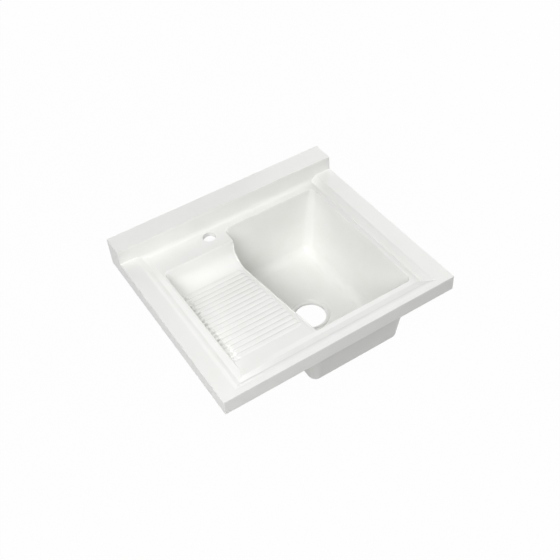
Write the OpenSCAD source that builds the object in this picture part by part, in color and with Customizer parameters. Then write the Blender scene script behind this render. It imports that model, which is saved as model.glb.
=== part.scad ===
// Countertop laundry basin: a deep bowl beside a ribbed washboard, in a recessed deck with a
// raised border and a low upstand at the wall. It is bonded up from cast composite sheet on a
// hidden frame of battens. Millimetres, +X to the right, +Y to the wall, +Z up.
// Sizes are drawn from the front left corner of the border's top, and place() then stands the
// basin on the underside of its bowl, centred on its width and depth.

/* [Top] */
// Width of the top, left to right
top_w = 600; // [560:1:760]
// Depth of the top, front edge to wall
top_d = 540; // [510:1:620]
// Thickness of the composite sheet
sheet_t = 12; // [10:0.5:14]
// Height of the downturned edge, border top to foot
apron_h = 40; // [36:1:60]
// Rounding of the outer arrises
arris_r = 1.5; // [1:0.5:5]

/* [Border and recess] */
// Depth of the recessed deck below the border
recess_depth = 13; // [8:0.5:16]
// Flat width of the left and right borders
side_border = 44; // [30:1:52]
// Flat width of the front border
front_border = 20; // [16:1:26]
// Width of the sloping face between border and deck
slope_run = 16; // [8:1:18]

/* [Upstand] */
// Height of the upstand above the border
upstand_h = 38; // [30:1:80]
// Thickness of the upstand, front to back
upstand_t = 58; // [48:1:80]
// Radius of the cove between deck and upstand
cove_r = 9; // [5:0.5:12]
// Width of each spacer block inside the upstand
spacer_w = 26; // [16:1:40]
// Number of spacer blocks inside the upstand
spacer_n = 4; // [2:1:6]

/* [Bowl] */
// Width of the bowl's mouth
bowl_w = 262; // [220:1:290]
// Top's right side to the bowl's mouth
bowl_right = 73; // [66:1:90]
// Front edge to the bowl's mouth and the board
bowl_front = 59; // [50:1:72]
// Bowl's mouth to the upstand
bowl_back = 26; // [22:1:60]
// Depth of the bowl below the deck
bowl_depth = 197; // [150:1:260]
// Thickness of the bowl's walls and floor
bowl_wall = 10; // [8:0.5:12]
// Corner radius of the bowl's mouth
mouth_r = 14; // [8:1:30]
// Radius between the bowl's walls and floor
floor_r = 24; // [10:1:30]
// Corner radius of the bowl's outside
outer_corner_r = 26; // [12:1:32]
// Radius between the bowl's outside walls and its underside
outer_foot_r = 22; // [12:1:30]
// Lean of the front wall, mouth to foot
lean_front = 23; // [6:1:32]
// Lean of the right wall, mouth to foot
lean_right = 24; // [6:1:32]
// Lean of the back wall, mouth to foot
lean_back = 6; // [2:1:20]
// Lean of the left wall, mouth to foot
lean_left = 4; // [2:1:20]
// Width of the bonding flange round the mouth
flange_w = 13; // [8:1:14]
// Thickness of the bonding flange
flange_t = 8; // [5:0.5:12]

/* [Drain] */
// Diameter of the drain hole
drain_d = 80; // [50:1:92]
// Drain's centre, from the bowl's mouth on the right
drain_from_right = 151; // [120:1:165]
// Drain's centre, from the bowl's mouth at the front
drain_from_front = 194; // [120:1:260]
// Diameter of the shallow dish round the drain
dish_d = 98; // [94:1:110]
// Depth of the dish
dish_depth = 4; // [2:0.5:6]

/* [Washboard] */
// Top's left side to the board's pocket
pocket_left = 75; // [72:1:110]
// Upstand to the pocket's back edge
ledge_d = 73; // [64:1:110]
// Slope of the board, falling to the back
board_slope = 11.1; // [5:0.1:13]
// Radius between the board and its back wall
board_foot_r = 38; // [20:1:50]
// Lean of the pocket's back wall
wall_lean = 5; // [0:0.5:12]
// Radius of the pocket's corner in plan
pocket_r = 14; // [6:1:24]
// Spacing of the ribs along the slope
rib_pitch = 16.5; // [14.5:0.1:24]
// Board's front line to the first rib
rib_first = 44; // [30:1:80]
// Width of a rib
rib_w = 13; // [8:0.5:14]
// Height of a rib
rib_h = 2; // [0.6:0.1:2.5]
// Height of the step round a rib's edge
rib_step = 0.3; // [0.2:0.1:0.5]
// Pocket's side to the ribs' left ends
rib_gap_left = 14; // [8:1:30]
// Bowl's edge to the ribs' right ends
rib_gap_right = 12; // [8:1:30]

/* [Tap hole] */
// Diameter of the tap hole
tap_d = 32; // [28:0.5:38]
// Tap hole's centre, from the bowl's mouth on the left
tap_from_bowl = 42; // [30:1:90]
// Tap hole's centre, from the upstand
tap_from_upstand = 28.5; // [27:0.5:40]

/* [Battens and fixings] */
// Width of the battens under the deck
batten_w = 18; // [12:1:20]
// Width of the corner blocks, left to right
block_w = 26; // [18:1:27]
// Length of the corner blocks, front to back
block_l = 40; // [24:1:60]
// Outer diameter of the threaded inserts
insert_d = 8; // [7:0.5:12]
// Bore of the threaded inserts
insert_bore = 5; // [4:0.1:6]
// Length of the threaded inserts
insert_len = 12; // [6:1:14]

/* [Hidden] */
$fn = 64;
hull_fn = 32;
over = 5;
slice = 1;
composite = [0.93, 0.93, 0.915];
plywood = [0.80, 0.66, 0.46];
brass = [0.80, 0.66, 0.33];

deck_z = -recess_depth;
deck_under = deck_z - sheet_t;
floor_z = deck_z - bowl_depth;
foot_z = floor_z - bowl_wall;
upstand_y = top_d - upstand_t;
face_back = upstand_y + sheet_t;
cove_y = upstand_y - cove_r;
cove_z = deck_z + cove_r;
cap_z = upstand_h - sheet_t;
inner_w = top_w - 2 * sheet_t;

bowl_x1 = top_w - bowl_right;
bowl_x0 = bowl_x1 - bowl_w;
bowl_y1 = upstand_y - bowl_back;
drain_x = bowl_x1 - drain_from_right;
drain_y = bowl_front + drain_from_front;
tap_x = bowl_x0 - tap_from_bowl;
tap_y = upstand_y - tap_from_upstand;

pocket_y = upstand_y - ledge_d;
slope_dir = [cos(board_slope), -sin(board_slope)];
slope_up = [sin(board_slope), cos(board_slope)];
lean_up = [-cos(wall_lean), sin(wall_lean)];
board_start = [bowl_front, deck_z];
wall_top = [pocket_y, deck_z];
bend = bend_centre();
slope_end = bend - board_foot_r * slope_up;
bend_n = 16;
board_len = norm(slope_end - board_start);
rib_past = 5;
rib_n = floor((board_len + rib_past - rib_first) / rib_pitch) + 1;
rib_rise = rib_h - rib_step;
rib_crown = (rib_w * rib_w / 4 + rib_rise * rib_rise) / (2 * rib_rise);

batten_z0 = -apron_h;
batten_h = deck_under - batten_z0;
batten_in = sheet_t + batten_w;
batten_rear_y = face_back - batten_w / 2;
block_rear_y = batten_rear_y - block_l;

// Centre of the bend between board and back wall: one foot radius away from both of them
function bend_centre() =
    let (a = slope_up, b = lean_up, r = board_foot_r)
    let (p = a * board_start + r, q = b * wall_top + r)
    let (det = a[0] * b[1] - a[1] * b[0])
    [(p * b[1] - q * a[1]) / det, (a[0] * q - b[0] * p) / det];

module place() translate([-top_w / 2, -top_d / 2, -foot_z]) children();

// Extrudes an outline drawn in Y and Z along X, from x0 to x1
module along_x(x0, x1) translate([x0, 0, 0]) rotate([90, 0, 90]) linear_extrude(x1 - x0) children();

// Extrudes an outline drawn in X and Z along Y, from y0 to y1
module along_y(y0, y1) translate([0, y1, 0]) rotate([90, 0, 0]) linear_extrude(y1 - y0) children();

module box(low, high) translate(low) cube(high - low);

module mirrored() translate([top_w, 0, 0]) mirror([1, 0, 0]) children();

// Rectangle whose top corner on the low side is rounded to the arris
module arris_plate(low, high) {
    difference() {
        translate(low) square(high - low);
        translate([low[0] - over, high[1] - arris_r]) square([arris_r + over, arris_r + over]);
    }
    translate([low[0] + arris_r, high[1] - arris_r]) intersection() {
        circle(arris_r);
        translate([-arris_r, 0]) square(arris_r);
    }
}

module rounded_rect(low, high, r) {
    for (x = [low[0] + r, high[0] - r], y = [low[1] + r, high[1] - r]) translate([x, y]) circle(r);
    translate([low[0] + r, low[1]]) square([high[0] - low[0] - 2 * r, high[1] - low[1]]);
    translate([low[0], low[1] + r]) square([high[0] - low[0], high[1] - low[1] - 2 * r]);
}

// Plan of the pocket, one square corner at each end of the bowl's side, a round one at the back left
module pocket_plan() {
    wide = bowl_x0 - pocket_left + mouth_r;
    long = pocket_y - bowl_front;
    translate([pocket_left, bowl_front]) square([wide, long - pocket_r]);
    translate([pocket_left + pocket_r, bowl_front]) square([wide - pocket_r, long]);
    translate([pocket_left + pocket_r, pocket_y - pocket_r]) circle(pocket_r);
}

// Solid of the bowl from the deck's underside down: extra grows it past its inner face, corner
// and foot are its radii at the mouth and at the floor. A thin disc under each foot's ball
// brings the floor down to its level.
module bowl_body(extra, corner, foot) {
    top = corner - extra;
    low = foot - extra;
    hull() {
        for (x = [bowl_x0 + top, bowl_x1 - top], y = [bowl_front + top, bowl_y1 - top])
            translate([x, y, deck_under - slice]) cylinder(r = corner, h = slice, $fn = hull_fn);
        for (x = [bowl_x0 + lean_left + low, bowl_x1 - lean_right - low],
            y = [bowl_front + lean_front + low, bowl_y1 - lean_back - low]) {
            translate([x, y, floor_z + low]) sphere(foot, $fn = hull_fn);
            translate([x, y, floor_z - extra]) cylinder(r = foot / 10, h = slice, $fn = hull_fn);
        }
    }
}

// Line down the board, round the bend and up the back wall, sunk by extra below their faces
function pocket_line(extra) = concat(
    [[bowl_front, deck_z - extra / cos(board_slope)]],
    [for (k = [0 : bend_n]) bend + (board_foot_r + extra) * [cos(bend_turn(k)), sin(bend_turn(k))]],
    [[pocket_y + (deck_under - deck_z) * tan(wall_lean) + extra / cos(wall_lean), deck_under]]);

function bend_turn(k) = -90 - board_slope + k * (90 + board_slope - wall_lean) / bend_n;

function backwards(points) = [for (k = [len(points) - 1 : -1 : 0]) points[k]];

// Outline of the bent sheet that forms the board and its back wall
module board_outline() polygon(concat(pocket_line(0), backwards(pocket_line(sheet_t))));

// Outline of the space down to a line sunk by extra, up to the deck's underside
module pocket_outline(extra) polygon(concat(pocket_line(extra), [[bowl_front, deck_under]]));

// Side border, cut at the front along the mitre with the front border
module border_prism() difference() {
    along_y(sheet_t, upstand_y) polygon([[sheet_t, deck_z], [side_border + slope_run, deck_z],
        [side_border, 0], [sheet_t, 0]]);
    translate([side_border, front_border, deck_z - over]) rotate([0, 0, -45])
        translate([0, -2 * side_border, 0]) cube([side_border, 4 * side_border, recess_depth + 2 * over]);
}

module side_apron() {
    along_y(0, upstand_y) arris_plate([0, -apron_h], [sheet_t, 0]);
    box([0, upstand_y, -apron_h], [sheet_t, top_d, 0]);
}

module upstand_end() {
    intersection() {
        along_y(upstand_y, top_d) arris_plate([0, 0], [sheet_t, upstand_h]);
        along_x(0, sheet_t) arris_plate([upstand_y, 0], [top_d, upstand_h]);
    }
}

module deck_panel() place() color(composite) difference() {
    box([sheet_t, sheet_t, deck_under], [top_w - sheet_t, cove_y, deck_z]);
    translate([0, 0, deck_under - over]) linear_extrude(sheet_t + 2 * over) {
        rounded_rect([bowl_x0, bowl_front], [bowl_x1, bowl_y1], mouth_r);
        pocket_plan();
    }
    translate([tap_x, tap_y, deck_under - over]) cylinder(d = tap_d, h = sheet_t + 2 * over);
}

module border_left() place() color(composite) border_prism();

module border_right() place() color(composite) mirrored() border_prism();

module border_front() place() color(composite) difference() {
    along_x(sheet_t, top_w - sheet_t) polygon([[sheet_t, deck_z], [front_border + slope_run, deck_z],
        [front_border, 0], [sheet_t, 0]]);
    border_prism();
    mirrored() border_prism();
}

module apron_left() place() color(composite) side_apron();

module apron_right() place() color(composite) mirrored() side_apron();

module apron_front() place() color(composite)
    along_x(sheet_t, top_w - sheet_t) arris_plate([0, -apron_h], [sheet_t, 0]);

module back_panel() place() color(composite)
    box([sheet_t, top_d - sheet_t, -apron_h], [top_w - sheet_t, top_d, cap_z]);

module cove_strip() place() color(composite) difference() {
    along_x(sheet_t, top_w - sheet_t) difference() {
        translate([cove_y, deck_under]) square([face_back - cove_y, cove_z - deck_under]);
        translate([cove_y, cove_z]) circle(cove_r);
    }
    border_prism();
    mirrored() border_prism();
}

module upstand_face() place() color(composite)
    box([sheet_t, upstand_y, cove_z], [top_w - sheet_t, face_back, cap_z]);

module upstand_cap() place() color(composite)
    along_x(sheet_t, top_w - sheet_t) arris_plate([upstand_y, cap_z], [top_d, upstand_h]);

module upstand_end_left() place() color(composite) upstand_end();

module upstand_end_right() place() color(composite) mirrored() upstand_end();

module bowl_shell() place() color(composite) difference() {
    union() {
        bowl_body(bowl_wall, outer_corner_r, outer_foot_r);
        translate([0, 0, deck_under - flange_t]) linear_extrude(flange_t)
            rounded_rect([bowl_x0 - flange_w, bowl_front - flange_w],
                [bowl_x1 + flange_w, bowl_y1 + flange_w], outer_corner_r + flange_w - bowl_wall);
    }
    bowl_body(0, mouth_r, floor_r);
    box([bowl_x0 + mouth_r, bowl_front + mouth_r, deck_under - over],
        [bowl_x1 - mouth_r, bowl_y1 - mouth_r, deck_under + over]);
    along_x(bowl_x0 - 2 * flange_w, bowl_x0 + mouth_r) pocket_outline(sheet_t);
    translate([drain_x, drain_y, floor_z - dish_depth]) cylinder(d = dish_d, h = bowl_depth / 2);
    translate([drain_x, drain_y, foot_z - over]) cylinder(d = drain_d, h = bowl_depth / 2);
}

module washboard_panel() place() color(composite) {
    along_x(pocket_left, bowl_x0) board_outline();
    for (k = [0 : rib_n - 1])
        rib(board_start + (rib_first + k * rib_pitch) * slope_dir);
}

// One rib: a long crowned bead with round ends, square to the board
module rib(at) {
    x0 = pocket_left + rib_gap_left + rib_w / 2;
    x1 = bowl_x0 - rib_gap_right - rib_w / 2;
    sink = sheet_t / 4;
    translate([0, at[0], at[1]]) rotate([-board_slope, 0, 0]) intersection() {
        translate([x0 - rib_w, 0, rib_h - rib_crown]) rotate([0, 90, 0])
            cylinder(r = rib_crown, h = x1 - x0 + 2 * rib_w);
        translate([0, 0, -sink]) linear_extrude(sink + 2 * rib_h) {
            for (x = [x0, x1]) translate([x, 0]) circle(d = rib_w);
            translate([x0, -rib_w / 2]) square([x1 - x0, rib_w]);
        }
    }
}

module pocket_side_wall() place() color(composite) {
    cheek_front = bowl_front + 2 * sheet_t;
    intersection() {
        along_x(pocket_left - sheet_t, pocket_left) pocket_outline(sheet_t);
        box([0, cheek_front, foot_z], [top_w, top_d, 0]);
    }
    intersection() {
        along_x(pocket_left, pocket_left + pocket_r) pocket_outline(0);
        difference() {
            box([pocket_left, pocket_y - pocket_r, floor_z],
                [pocket_left + pocket_r, pocket_y, deck_under]);
            translate([pocket_left + pocket_r, pocket_y - pocket_r, floor_z - over])
                cylinder(r = pocket_r, h = over - floor_z);
        }
    }
}

module upstand_spacers() place() color(plywood) {
    gap = (inner_w - spacer_n * spacer_w) / (spacer_n + 1);
    for (k = [0 : spacer_n - 1])
        translate([sheet_t + gap + k * (gap + spacer_w), 0, 0])
            box([0, face_back, deck_under], [spacer_w, top_d - sheet_t, cap_z]);
}

module side_batten() box([sheet_t, sheet_t, batten_z0], [batten_in, top_d - sheet_t, deck_under]);

module batten_left() place() color(plywood) side_batten();

module batten_right() place() color(plywood) mirrored() side_batten();

module batten_front() place() color(plywood)
    box([batten_in, sheet_t, batten_z0], [top_w - batten_in, batten_in, deck_under]);

module batten_rear() place() color(plywood)
    box([batten_in, batten_rear_y, batten_z0],
        [top_w - batten_in, batten_rear_y + batten_w, deck_under]);

module corner_blocks() place() color(plywood) each_corner() difference() {
    translate([-block_w / 2, -block_l / 2, batten_z0]) cube([block_w, block_l, batten_h]);
    translate([0, 0, batten_z0 - over]) cylinder(d = insert_d, h = insert_len + over);
}

module fixing_inserts() place() color(brass) each_corner() translate([0, 0, batten_z0]) difference() {
    cylinder(d = insert_d, h = insert_len);
    translate([0, 0, -over]) cylinder(d = insert_bore, h = insert_len + 2 * over);
}

// Places its children at the middle of each corner block
module each_corner() {
    for (x = [batten_in + block_w / 2, top_w - batten_in - block_w / 2],
        y = [batten_in + block_l / 2, block_rear_y + block_l / 2])
        translate([x, y, 0]) children();
}

deck_panel();
border_left();
border_right();
border_front();
apron_left();
apron_right();
apron_front();
back_panel();
cove_strip();
upstand_face();
upstand_cap();
upstand_end_left();
upstand_end_right();
bowl_shell();
washboard_panel();
pocket_side_wall();
upstand_spacers();
batten_left();
batten_right();
batten_front();
batten_rear();
corner_blocks();
fixing_inserts();
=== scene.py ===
"""Countertop laundry basin: the looks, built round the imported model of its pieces.

The basin is a white composite top with a deep bowl and a ribbed washboard. Every shape here is
drawn in millimetres from the front left corner of the border's top, +X to the right, +Y to the
wall and +Z up, with the same sizes as the part, and it is moved into the frame when it is done.
"""

from __future__ import annotations

import logging
import math
from dataclasses import dataclass
from enum import Enum
from typing import Callable, Sequence

import bmesh
import bpy
from mathutils import Matrix, Vector


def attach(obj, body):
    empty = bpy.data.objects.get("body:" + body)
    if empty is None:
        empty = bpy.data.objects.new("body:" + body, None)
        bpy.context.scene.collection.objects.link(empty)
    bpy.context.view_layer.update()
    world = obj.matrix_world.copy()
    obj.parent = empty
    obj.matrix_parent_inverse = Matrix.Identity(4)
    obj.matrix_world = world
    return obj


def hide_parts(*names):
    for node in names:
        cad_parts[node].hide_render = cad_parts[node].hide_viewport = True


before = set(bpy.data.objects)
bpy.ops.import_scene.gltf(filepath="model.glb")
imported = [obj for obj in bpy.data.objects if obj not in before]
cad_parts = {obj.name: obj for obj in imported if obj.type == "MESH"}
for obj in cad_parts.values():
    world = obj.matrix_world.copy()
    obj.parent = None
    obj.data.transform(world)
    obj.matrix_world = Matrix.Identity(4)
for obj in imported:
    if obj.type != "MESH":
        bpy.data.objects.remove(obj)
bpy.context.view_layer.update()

LOG = logging.getLogger("basin")
Pair = tuple[float, float]
EdgeTest = Callable[[bmesh.types.BMEdge], bool]

MM = 0.001
BODY = "root"

# Tolerances in millimetres of the drawing, and the two crease angles in degrees
SEAM_TOLERANCE = 0.02
LOOP_WELD = 0.001
PIECE_WELD = 0.002
UPRIGHT_RISE = 1.0
CREASE = 38.0
CURVED_CREASE = 50.0


@dataclass(frozen=True)
class TopSizes:
    """Sizes of the top that several pieces share, in millimetres.

    foot is how far the bowl's underside lies below the border's top.
    """

    width: float = 600.0
    depth: float = 540.0
    sheet: float = 12.0
    apron: float = 40.0
    recess: float = 13.0
    side_border: float = 44.0
    front_border: float = 20.0
    slope: float = 16.0
    upstand: float = 38.0
    upstand_depth: float = 58.0
    cove: float = 9.0
    arris: float = 1.5
    foot: float = 220.0

    @property
    def deck(self) -> float:
        """Height of the deck's top."""
        return -self.recess

    @property
    def under(self) -> float:
        """Height of the deck's underside."""
        return -self.recess - self.sheet

    @property
    def upstand_front(self) -> float:
        """Y of the upstand's front face."""
        return self.depth - self.upstand_depth

    def to_row(self) -> Matrix:
        """Matrix from the drawing's millimetres to the frame's metres."""
        shift = Matrix.Translation((-self.width / 2, -self.depth / 2, self.foot))
        return Matrix.Scale(MM, 4) @ shift


TOP = TopSizes()


class Along(Enum):
    """Row axis along which an outline is extruded, with the axes that the outline is drawn in."""

    X = (1, 2, 0)
    Y = (0, 2, 1)
    Z = (0, 1, 2)

    def point(self, pair: Pair, far: float) -> Vector:
        """Point of an outline at a distance along the axis.

        Args:
            pair: The outline's corner.
            far: Distance along the axis.

        Returns:
            The point.
        """
        first, second, third = self.value
        co = [0.0, 0.0, 0.0]
        co[first], co[second], co[third] = pair[0], pair[1], far
        return Vector(co)


@dataclass(frozen=True)
class Level:
    """A level rectangle: one end of a tapered shape."""

    x0: float
    x1: float
    y0: float
    y1: float
    z: float


def is_near(value: float, target: float) -> bool:
    """True where a coordinate lies on a face of the drawing."""
    return abs(value - target) < SEAM_TOLERANCE


def is_upright(edge: bmesh.types.BMEdge) -> bool:
    """True for an edge that rises."""
    return abs(edge.verts[0].co.z - edge.verts[1].co.z) > UPRIGHT_RISE


def edge_on(**planes: float) -> EdgeTest:
    """Makes a test for the edges whose two ends both lie on every plane that is named.

    Args:
        planes: x, y or z with the plane's place.

    Returns:
        The test.
    """
    axes = {"xyz".index(name): place for name, place in planes.items()}

    def test(edge: bmesh.types.BMEdge) -> bool:
        """True where both ends lie on the planes."""
        return all(is_near(v.co[axis], place) for v in edge.verts for axis, place in axes.items())

    return test


def any_of(*tests: EdgeTest) -> EdgeTest:
    """Test that passes where one of several tests passes."""
    return lambda edge: any(test(edge) for test in tests)


def smooth(part: float) -> float:
    """Smooth step from 0 to 1."""
    part = min(max(part, 0.0), 1.0)
    return part * part * (3 - 2 * part)


def quarter(steps: int) -> list[float]:
    """Angles of a quarter turn in equal steps, with both ends."""
    return [math.radians(90 * k / steps) for k in range(steps + 1)]


def polar(centre: Pair, radius: float, turn: float, z: float) -> Vector:
    """Point of a level circle."""
    return Vector((centre[0] + radius * math.cos(turn), centre[1] + radius * math.sin(turn), z))


def blend(near: Sequence[Vector], far: Sequence[Vector], share: float) -> list[Vector]:
    """Loop of points that lies a share of the way from one loop to another."""
    return [a.lerp(b, share) for a, b in zip(near, far)]


class Solid:
    """A closed shape that is being modelled, in the drawing's millimetres."""

    def __init__(self) -> None:
        """Starts with an empty mesh."""
        self.mesh = bmesh.new()

    @classmethod
    def block(cls, low: Sequence[float], high: Sequence[float]) -> Solid:
        """Makes a plain block between two corners."""
        return cls.tapered(
            Level(low[0], high[0], low[1], high[1], low[2]),
            Level(low[0], high[0], low[1], high[1], high[2]),
        )

    @classmethod
    def tapered(cls, foot: Level, head: Level) -> Solid:
        """Makes a block whose foot and head are rectangles of their own.

        Args:
            foot: The lower rectangle.
            head: The upper rectangle.

        Returns:
            The block.
        """
        solid = cls()
        bmesh.ops.create_cube(solid.mesh, size=2.0)
        for vert in solid.mesh.verts:
            level = head if vert.co.z > 0 else foot
            x = level.x1 if vert.co.x > 0 else level.x0
            y = level.y1 if vert.co.y > 0 else level.y0
            vert.co = Vector((x, y, level.z))
        return solid

    @classmethod
    def prism(cls, outline: Sequence[Pair], along: Along, start: float, end: float) -> Solid:
        """Extrudes an outline.

        Args:
            outline: The corners, in the two axes that the direction leaves.
            along: The direction of the extrusion.
            start: Where the extrusion starts.
            end: Where it ends.

        Returns:
            The prism.
        """
        solid = cls()
        verts = [solid.mesh.verts.new(along.point(pair, start)) for pair in outline]
        face = bmesh.ops.contextual_create(solid.mesh, geom=verts)["faces"]
        grown = bmesh.ops.extrude_face_region(solid.mesh, geom=face)["geom"]
        moved = [v for v in grown if isinstance(v, bmesh.types.BMVert)]
        bmesh.ops.translate(solid.mesh, verts=moved, vec=along.point((0.0, 0.0), end - start))
        bmesh.ops.recalc_face_normals(solid.mesh, faces=solid.mesh.faces)
        return solid

    @classmethod
    def cylinder(cls, centre: Pair, radius: float, low: float, high: float, sides: int = 96) -> Solid:
        """Makes an upright cylinder.

        Args:
            centre: Its axis, in X and Y.
            radius: Its radius.
            low: Height of its foot.
            high: Height of its top.
            sides: Number of its sides.

        Returns:
            The cylinder.
        """
        solid = cls()
        bmesh.ops.create_cone(
            solid.mesh, cap_ends=True, segments=sides, radius1=radius, radius2=radius, depth=high - low
        )
        bmesh.ops.translate(solid.mesh, verts=solid.mesh.verts, vec=(*centre, (low + high) / 2))
        return solid

    @classmethod
    def loft(cls, rows: Sequence[Sequence[Vector]], ring: bool) -> Solid:
        """Makes a skin through rows of points, each row a closed loop round the shape.

        Args:
            rows: The loops, each with as many points as the others.
            ring: True where the last row joins the first, False where both ends are capped.

        Returns:
            The closed shape.
        """
        solid = cls()
        loops = [*rows, rows[0]] if ring else list(rows)
        count = len(rows[0])
        bmesh.ops.create_grid(solid.mesh, x_segments=count, y_segments=len(loops) - 1, size=1.0)
        solid.mesh.verts.ensure_lookup_table()
        for r, loop in enumerate(loops):
            for c in range(count + 1):
                solid.mesh.verts[r * (count + 1) + c].co = loop[c % count]
        bmesh.ops.remove_doubles(solid.mesh, verts=solid.mesh.verts, dist=LOOP_WELD)
        if not ring:
            rim = [e for e in solid.mesh.edges if e.is_boundary]
            bmesh.ops.holes_fill(solid.mesh, edges=rim, sides=0)
        bmesh.ops.recalc_face_normals(solid.mesh, faces=solid.mesh.faces)
        return solid

    def sliced(self, normal: Sequence[float], point: Sequence[float], keep_below: bool = False) -> Solid:
        """Cuts the shape's skin along a plane.

        Args:
            normal: Direction square to the plane.
            point: A point of the plane.
            keep_below: True to throw away what lies past the plane and close the cut.

        Returns:
            The same shape.
        """
        geom = [*self.mesh.verts, *self.mesh.edges, *self.mesh.faces]
        cut = bmesh.ops.bisect_plane(
            self.mesh, geom=geom, plane_co=Vector(point), plane_no=Vector(normal), clear_outer=keep_below
        )
        if keep_below:
            rim = [e for e in cut["geom_cut"] if isinstance(e, bmesh.types.BMEdge)]
            bmesh.ops.contextual_create(self.mesh, geom=rim)
        return self

    def rounded(self, test: EdgeTest, radius: float, steps: int = 4) -> Solid:
        """Rounds the edges that pass a test.

        Args:
            test: Picks the edges.
            radius: Distance from the old edge to where the rounding starts.
            steps: Number of facets across the rounding.

        Returns:
            The same shape.
        """
        edges = [e for e in self.mesh.edges if test(e)]
        bmesh.ops.bevel(
            self.mesh, geom=edges, offset=radius, offset_type="OFFSET", segments=steps,
            profile=0.5, affect="EDGES", clamp_overlap=False, material=-1,
        )
        return self

    def _as_object(self, name: str) -> bpy.types.Object:
        """Puts the shape in a working object of its own.

        Args:
            name: The object's name.

        Returns:
            The object.
        """
        data = bpy.data.meshes.new(name)
        self.mesh.to_mesh(data)
        work = bpy.data.objects.new(name, data)
        bpy.context.scene.collection.objects.link(work)
        return work

    def combined(self, other: Solid, operation: str) -> Solid:
        """Cuts another shape away from this one, or joins the two.

        Args:
            other: The other shape.
            operation: DIFFERENCE, UNION or INTERSECT.

        Returns:
            The same shape, changed.
        """
        works = [self._as_object("first"), other._as_object("second")]
        modifier = works[0].modifiers.new("Combine", "BOOLEAN")
        modifier.operation = operation
        modifier.solver = "EXACT"
        modifier.object = works[1]
        view = bpy.context.evaluated_depsgraph_get()
        result = bpy.data.meshes.new_from_object(works[0].evaluated_get(view))
        self.mesh.free()
        self.mesh = bmesh.new()
        self.mesh.from_mesh(result)
        for data in [result, *(work.data for work in works)]:
            bpy.data.meshes.remove(data)
        return self

    def without(self, *others: Solid) -> Solid:
        """Cuts other shapes away from this one.

        Args:
            others: The other shapes.

        Returns:
            The same shape, changed.
        """
        for other in others:
            self.combined(other, "DIFFERENCE")
        return self

    def piece(self, name: str, material: bpy.types.Material, crease: float = CREASE) -> bpy.types.Object:
        """Turns the shape into a finished object in the frame.

        Args:
            name: The object's name.
            material: Its material.
            crease: Angle in degrees past which an edge stays sharp.

        Returns:
            The object.
        """
        bm = self.mesh
        bmesh.ops.remove_doubles(bm, verts=bm.verts, dist=PIECE_WELD)
        bmesh.ops.dissolve_degenerate(bm, dist=PIECE_WELD, edges=bm.edges)
        bmesh.ops.recalc_face_normals(bm, faces=bm.faces)
        bmesh.ops.transform(bm, matrix=TOP.to_row(), verts=bm.verts)
        if bm.calc_volume(signed=True) < 0:
            bmesh.ops.reverse_faces(bm, faces=bm.faces)
        for face in bm.faces:
            face.smooth = True
        for edge in bm.edges:
            edge.smooth = len(edge.link_faces) == 2 and edge.calc_face_angle(0.0) < math.radians(crease)
        open_edges = sum(len(e.link_faces) != 2 for e in bm.edges)
        data = bpy.data.meshes.new(name)
        bm.to_mesh(data)
        bm.free()
        data.materials.append(material)
        obj = bpy.data.objects.new(name, data)
        bpy.context.scene.collection.objects.link(obj)
        weighted = obj.modifiers.new("Flat faces stay flat", "WEIGHTED_NORMAL")
        weighted.keep_sharp = True
        LOG.info("piece %s: %d faces, %d open edges", name, len(data.polygons), open_edges)
        return obj


# Finishes


def linear(hex_colour: str) -> tuple[float, float, float, float]:
    """Turns an sRGB hex colour into the linear colour that a shader takes.

    Args:
        hex_colour: Six hex digits.

    Returns:
        Red, green and blue, with an alpha of 1.
    """
    parts = [int(hex_colour[i : i + 2], 16) / 255 for i in (0, 2, 4)]
    red, green, blue = (p / 12.92 if p <= 0.04045 else ((p + 0.055) / 1.055) ** 2.4 for p in parts)
    return (red, green, blue, 1.0)


def add_node(
    tree: bpy.types.NodeTree,
    kind: str,
    settings: dict[str, object] | None = None,
    links: dict[str | int, bpy.types.NodeSocket] | None = None,
) -> bpy.types.Node:
    """Adds one node.

    Args:
        tree: The material's or world's node tree.
        kind: The node's type.
        settings: Properties and input values, by name.
        links: Sockets to join to inputs, by the input's name or number.

    Returns:
        The node.
    """
    node = tree.nodes.new(kind)
    for name, value in (settings or {}).items():
        if name in node.inputs and not hasattr(node, name.lower()):
            node.inputs[name].default_value = value
        elif hasattr(node, name):
            setattr(node, name, value)
        else:
            node.inputs[name].default_value = value
    for name, socket in (links or {}).items():
        tree.links.new(socket, node.inputs[name])
    return node


def new_material(name: str) -> tuple[bpy.types.Material, bpy.types.NodeTree]:
    """Makes a material with an empty node tree.

    Args:
        name: The material's name.

    Returns:
        The material and its tree.
    """
    material = bpy.data.materials.new(name)
    material.use_nodes = True
    material.node_tree.nodes.clear()
    return material, material.node_tree


def band_scale(spacing_mm: float) -> float:
    """Scale that gives a wave texture, which has 20 radians to a unit, one band per spacing."""
    return math.tau / (20.0 * spacing_mm * MM)


def ramp(
    tree: bpy.types.NodeTree, factor: bpy.types.NodeSocket, stops: Sequence[tuple[float, str]]
) -> bpy.types.NodeSocket:
    """Adds a colour ramp and returns its colour.

    Args:
        tree: The node tree.
        factor: What drives the ramp.
        stops: Positions with sRGB hex colours.

    Returns:
        The ramp's colour socket.
    """
    node = add_node(tree, "ShaderNodeValToRGB", links={"Fac": factor})
    elements = node.color_ramp.elements
    while len(elements) < len(stops):
        elements.new(0.5)
    for element, (position, colour) in zip(elements, stops):
        element.position, element.color = position, linear(colour)
    return node.outputs["Color"]


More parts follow.
